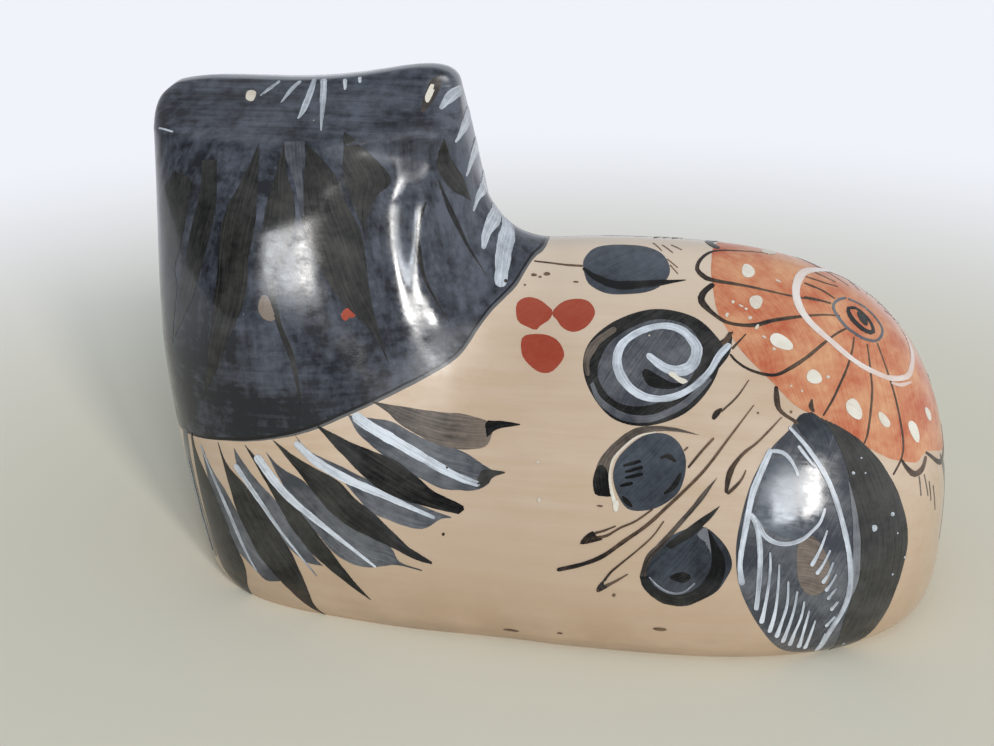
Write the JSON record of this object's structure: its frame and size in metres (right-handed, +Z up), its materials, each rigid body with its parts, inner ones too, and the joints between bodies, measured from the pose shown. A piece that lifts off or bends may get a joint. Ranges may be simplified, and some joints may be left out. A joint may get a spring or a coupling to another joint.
{
  "type": "cat figurine",
  "caption": "Hollow burnished clay cat lying like a loaf with its head turned aside, painted with coloured slips, standing free on a flat foot.",
  "frame": {"origin": "middle of the flat foot, on the ground", "axes": "+X from the rump to the chest, +Y to the cat's left flank and the back of its turned head, +Z up; the face looks to -Y"},
  "size_m": [0.1312, 0.0724, 0.0839],
  "materials": {
    "burnished_clay": "tan slip, stone burnished to a soft gloss",
    "bare_clay": "matt, unburnished low-fired clay",
    "black_slip": "blue-black slip, burnished, brush streaked",
    "grey_slip": "thin blue-grey slip wash, burnished",
    "white_slip": "chalky white slip line, lightly burnished",
    "red_slip": "iron red slip, burnished",
    "orange_slip": "orange slip wash, burnished",
    "brown_slip": "dark brown slip line"
  },
  "bodies": {
    "root": {"left_half_shell": "burnished_clay", "right_half_shell": "burnished_clay", "base_slab": "bare_clay", "seam_coil": "bare_clay", "base_coil": "bare_clay"}
  },
  "joints": []
}
